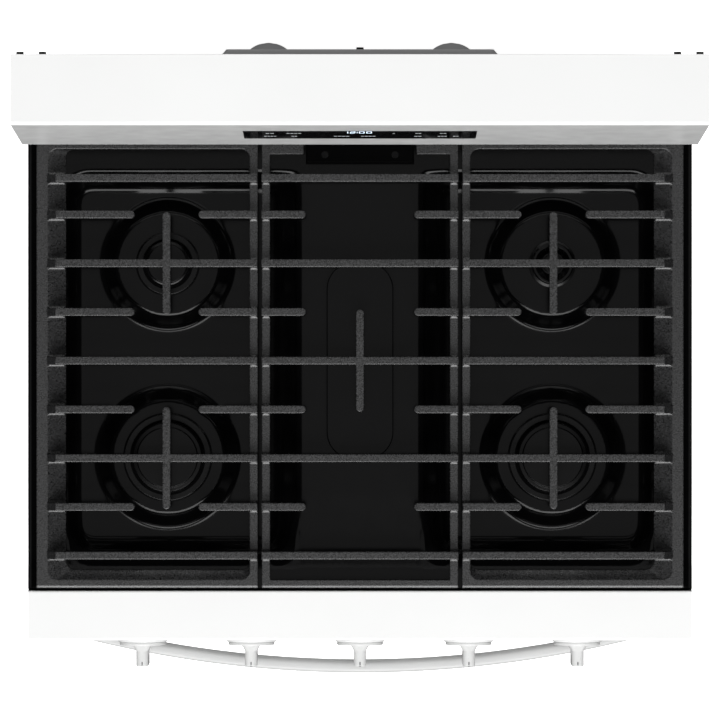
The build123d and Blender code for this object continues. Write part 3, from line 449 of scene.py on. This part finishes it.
def make_cooktop():
    """The pressed top as one closed shell: a fine height field, a skirt and a floor."""
    step = 2.2 * MM
    columns = int((cook_high.x - cook_low.x) / step) + 1
    rows = int((cook_high.y - cook_low.y) / step) + 1
    xs = np.linspace(cook_low.x, cook_high.x, columns)
    ys = np.linspace(cook_low.y, cook_high.y, rows)
    x, y = np.meshgrid(xs, ys)
    z = cooktop_heights(x, y, step)
    points = np.stack([x, y, z], axis=-1).reshape(-1, 3)
    index = np.arange(rows * columns).reshape(rows, columns)
    faces = np.stack([index[:-1, :-1], index[:-1, 1:], index[1:, 1:], index[1:, :-1]], axis=-1)
    faces = faces.reshape(-1, 4).tolist()
    border = [*index[0, :-1], *index[:-1, -1], *index[-1, :0:-1], *index[:0:-1, 0]]
    skirt = points[border].copy()
    skirt[:, 2] = cook_low.z
    first = len(points)
    points = np.concatenate([points, skirt])
    count = len(border)
    for place in range(count):
        after = (place + 1) % count
        faces.append([border[after], border[place], first + place, first + after])
    faces.append([first + place for place in range(count - 1, -1, -1)])
    piece = new_piece("cooktop_pressing", points, faces, "black_enamel", STATIC)
    smooth(piece.data, 50)
    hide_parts("cooktop")


make_cooktop()


# ---- Door handle ----------------------------------------------------------------------
def make_handle():
    """The bowed bar, swept smooth along its arc until its ends are inside the door's face."""
    low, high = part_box("door_handle")
    deep, tall = 15.5 * MM, high.z - low.z
    outer_squareness, inner_squareness = 4.5, 2.4  # 2 is an ellipse
    bow = 1317 * MM  # radius of the arc that the bar follows
    centre_y = low.y + deep / 2 + bow
    middle_z = (low.z + high.z) / 2
    section = []
    steps = 40
    for step in range(steps):
        cos, sin = math.cos(math.tau * step / steps), math.sin(math.tau * step / steps)
        squareness = outer_squareness if cos > 0 else inner_squareness
        section.append((math.copysign(abs(cos) ** (2 / squareness), cos) * deep / 2,
                        math.copysign(abs(sin) ** (2 / squareness), sin) * tall / 2))
    stations = 96
    into_door = 10 * MM  # the ends run on past the bar's visible length
    reach = math.asin((high.x + into_door) / bow)
    points, faces = [], []
    for station in range(stations + 1):
        swing = reach * (2 * station / stations - 1)
        for out, up in section:
            radius = bow + out
            points.append((radius * math.sin(swing), centre_y - radius * math.cos(swing), middle_z + up))
    around = len(section)
    for station in range(stations):
        for place in range(around):
            after = (place + 1) % around
            here, there = station * around, (station + 1) * around
            faces.append([here + place, here + after, there + after, there + place])
    faces.append(list(range(around - 1, -1, -1)))
    faces.append([stations * around + place for place in range(around)])
    piece = new_piece("handle_bar", points, faces, "handle_white_shaded", "oven_door")
    smooth(piece.data)
    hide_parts("door_handle")


make_handle()


# ---- Display and panel print ----------------------------------------------------------
def facing_boxes(name, rectangles, origin, right, up, out, depth, look, body=STATIC):
    """Thin raised rectangles (x, z, width, height, turn) on a face, joined in one piece."""
    points, faces = [], []
    for x, z, width, height, turn in rectangles:
        cos, sin = math.cos(turn), math.sin(turn)
        first = len(points)
        for level in (-0.2 * MM, depth):
            for across, along in ((-1, -1), (1, -1), (1, 1), (-1, 1)):
                dx, dz = across * width / 2, along * height / 2
                flat_x = x + dx * cos - dz * sin
                flat_z = z + dx * sin + dz * cos
                points.append(origin + right * flat_x + up * flat_z + out * level)
        faces.append([first + i for i in (4, 5, 6, 7)])
        faces.append([first + i for i in (3, 2, 1, 0)])
        for i in range(4):
            after = (i + 1) % 4
            faces.append([first + i, first + after, first + 4 + after, first + 4 + i])
    return new_piece(name, points, faces, look, body)


glass_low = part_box("display_glass")[0]
LEAN = math.atan2(13, 185)  # the display face leans back by this much
display_up = Vector((0, math.sin(LEAN), math.cos(LEAN)))
display_out = Vector((0, -math.cos(LEAN), math.sin(LEAN)))
display_origin = Vector((0, glass_low.y, glass_low.z))
SEGMENTS = {"0": "abcdef", "1": "bc", "2": "abged"}


def clock_digit(digit, x, z, width, height, line):
    """The lit bars of one seven-segment digit."""
    half_w, half_h = width / 2, height / 2
    places = {
        "a": (0, half_h, width, line), "g": (0, 0, width, line), "d": (0, -half_h, width, line),
        "f": (-half_w, half_h / 2, line, half_h), "b": (half_w, half_h / 2, line, half_h),
        "e": (-half_w, -half_h / 2, line, half_h), "c": (half_w, -half_h / 2, line, half_h),
    }
    bars = [places[segment] for segment in SEGMENTS[digit]]
    return [(x + dx, z + dz, w - 0.4 * MM, h - 0.4 * MM, 0) for dx, dz, w, h in bars]


def make_display():
    """The clock's lit digits, and short dashes in place of the keys' labels."""
    clock_x, clock_z = -3.5 * MM, 59 * MM
    bars = []
    for digit, offset in zip("1200", (-12.5, -4.5, 5.5, 13.5)):
        bars += clock_digit(digit, clock_x + offset * MM, clock_z, 5 * MM, 15 * MM, 1.5 * MM)
    bars += [(clock_x + 0.5 * MM, clock_z + dz * MM, 1.5 * MM, 1.5 * MM, 0) for dz in (-3.5, 3.5)]
    facing_boxes("clock_digits", bars, display_origin, Vector((1, 0, 0)), display_up, display_out,
                 0.15 * MM, "clock_light")
    marks = []
    upper, lower = 50, 23  # heights of the two rows on the glass, in millimetres
    # start, end and height of each group of dashes
    groups = ((-104, -94, upper), (-81, -64, upper), (36, 39, upper), (61, 68, upper), (88, 96, upper),
              (-106, -92, lower), (-76, -69, lower), (-29, -11, lower), (1, 18, lower), (60, 69, lower),
              (86, 97, lower), (103, 110, lower))
    for start, end, height in groups:
        dash = 0.8 * (end - start) / max(1, round((end - start) / 4))
        for place in np.arange(start, end - 1, dash / 0.8):
            marks.append(((place + dash / 2) * MM, height * MM, dash * MM, 2.6 * MM, 0))
    facing_boxes("key_marks", marks, display_origin, Vector((1, 0, 0)), display_up, display_out,
                 0.12 * MM, "key_print")


make_display()


def make_dial_marks():
    """Printed ticks round every knob, three of them longer."""
    panel_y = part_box("control_panel")[0].y
    radius = 32.5 * MM
    line = 1.1 * MM
    ticks = []
    for index in range(1, 6):
        low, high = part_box(f"knob_{index}")
        x, z = (low.x + high.x) / 2, (low.z + high.z) / 2
        for step in range(10):
            angle = math.radians(90 + 25 * step)
            length = 5 * MM if step in (0, 3, 9) else 3 * MM
            ticks.append((x + radius * math.cos(angle), z + radius * math.sin(angle), length, line, angle))
    facing_boxes("dial_marks", ticks, Vector((0, panel_y, 0)), Vector((1, 0, 0)), Vector((0, 0, 1)),
                 Vector((0, -1, 0)), 0.12 * MM, "grey_print")


make_dial_marks()


def make_knob_bezels():
    """A thin raised ring on the panel round every knob's skirt, clear of the skirt when it is pushed."""
    panel_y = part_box("control_panel")[0].y
    inner, outer, deep = 27.1 * MM, 28.3 * MM, 3.4 * MM
    section = ((inner, -0.2 * MM), (inner, deep), (outer - 0.3 * MM, deep), (outer, deep - 0.3 * MM),
               (outer, -0.2 * MM))
    steps = 64
    points, faces = [], []
    for index in range(1, 6):
        low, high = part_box(f"knob_{index}")
        x, z = (low.x + high.x) / 2, (low.z + high.z) / 2
        first = len(points)
        for step in range(steps):
            turn = math.tau * step / steps
            for radius, out in section:
                points.append((x + radius * math.cos(turn), panel_y - out, z + radius * math.sin(turn)))
        for step in range(steps):
            here = first + step * len(section)
            there = first + (step + 1) % steps * len(section)
            for place in range(len(section)):
                after = (place + 1) % len(section)
                faces.append([here + place, here + after, there + after, there + place])
    piece = new_piece("knob_bezels", points, faces, "white_enamel", STATIC)
    smooth(piece.data)


make_knob_bezels()


def make_knob_pointers():
    """The dark inlay in the slot at each knob's tip, and its end on top of the grip."""
    grip_top = 23.5 * MM  # above the knob's middle
    for index in range(1, 6):
        low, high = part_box(f"knob_{index}")
        x, z = (low.x + high.x) / 2, (low.z + high.z) / 2
        bar = [(x, z + 13.5 * MM, 2.4 * MM, 20.5 * MM, 0)]
        facing_boxes(f"knob_pointer_{index}", bar, Vector((0, low.y + 0.55 * MM, 0)), Vector((1, 0, 0)),
                     Vector((0, 0, 1)), Vector((0, -1, 0)), 0.3 * MM, "dark_mark",
                     f"control_knob_{index}")
        tick = [(x, low.y + 3.6 * MM, 1.2 * MM, 3.6 * MM, 0)]
        facing_boxes(f"knob_tick_{index}", tick, Vector((0, 0, z + grip_top)), Vector((1, 0, 0)),
                     Vector((0, 1, 0)), Vector((0, 0, 1)), 0.1 * MM, "dark_mark",
                     f"control_knob_{index}")


make_knob_pointers()


# ---- Studio ---------------------------------------------------------------------------
def make_floor():
    """A pale glowing floor that neither shows in reflections nor lights the range from below."""
    made, shader = start_material("studio_floor", (0.9, 0.9, 0.9), 0.9)
    vary_colour(made, shader, add_noise(made, 2.0, 2.0), (0.89, 0.89, 0.89), (0.91, 0.91, 0.91))
    shader.inputs["Emission Color"].default_value = (1.0, 1.0, 1.0, 1.0)
    shader.inputs["Emission Strength"].default_value = 0.8
    mesh = bpy.data.meshes.new("studio_floor")
    reach = 12.0
    drop = -0.5 * MM
    corners = ((-reach, -reach), (reach, -reach), (reach, reach), (-reach, reach))
    mesh.from_pydata([(x, y, drop) for x, y in corners], [], [(0, 1, 2, 3)])
    floor = bpy.data.objects.new("studio_floor", mesh)
    floor.data.materials.append(made)
    floor.visible_glossy = False
    floor.visible_diffuse = False
    scene.collection.objects.link(floor)


def softbox(name, tilt, distance, size, radiance, mirrored):
    """A rectangular light aimed at the cooktop, tilted by degrees from overhead towards the front."""
    light = bpy.data.lights.new(name, "AREA")
    light.shape = "RECTANGLE"
    light.size, light.size_y = size
    light.energy = radiance * math.pi * size[0] * size[1]
    lamp = bpy.data.objects.new(name, light)
    direction = Vector((0, -math.sin(math.radians(tilt)), math.cos(math.radians(tilt))))
    lamp.location = Vector((0, 0, cook_high.z)) + direction * distance
    lamp.rotation_mode = "QUATERNION"
    lamp.rotation_quaternion = direction.to_track_quat("Z", "Y")
    lamp.visible_camera = False
    lamp.visible_glossy = mirrored
    scene.collection.objects.link(lamp)


def sky(soft, mirrored, pale):
    """A surround: soft light, darker where surfaces mirror it, and pale behind the range."""
    world = bpy.data.worlds.new("studio")
    world.use_nodes = True
    tree = world.node_tree
    tree.nodes.clear()
    rays = tree.nodes.new("ShaderNodeLightPath")
    unseen = tree.nodes.new("ShaderNodeMapRange")
    unseen.inputs["To Min"].default_value = soft
    unseen.inputs["To Max"].default_value = mirrored
    strength = tree.nodes.new("ShaderNodeMapRange")
    strength.inputs["To Max"].default_value = pale
    back = tree.nodes.new("ShaderNodeBackground")
    out = tree.nodes.new("ShaderNodeOutputWorld")
    tree.links.new(rays.outputs["Is Glossy Ray"], unseen.inputs["Value"])
    tree.links.new(rays.outputs["Is Camera Ray"], strength.inputs["Value"])
    tree.links.new(unseen.outputs["Result"], strength.inputs["To Min"])
    tree.links.new(strength.outputs["Result"], back.inputs["Strength"])
    tree.links.new(back.outputs["Background"], out.inputs["Surface"])
    scene.world = world


make_floor()
softbox("key", tilt=37, distance=10.0, size=(7.2, 6.2), radiance=6.4, mirrored=True)
softbox("fill", tilt=40, distance=14.0, size=(14.0, 14.0), radiance=1.9, mirrored=False)
softbox("ceiling", tilt=0, distance=3.0, size=(1.8, 1.8), radiance=0.43, mirrored=True)
sky(soft=0.45, mirrored=0.03, pale=0.9)

CAMERA_HEIGHT = 6.499
CAMERA_Y = 0.0088
FOCAL = 244.3  # millimetres, on a 36 mm sensor

camera = bpy.data.objects.new("camera", bpy.data.cameras.new("camera"))
camera.data.sensor_width = 36.0
camera.data.lens = FOCAL
camera.data.clip_end = 50.0
camera.location = (0.0, CAMERA_Y, CAMERA_HEIGHT)
camera.rotation_euler = (0.0, 0.0, 0.0)
scene.collection.objects.link(camera)
scene.camera = camera
scene.view_settings.view_transform = "Standard"
scene.view_settings.look = "None"
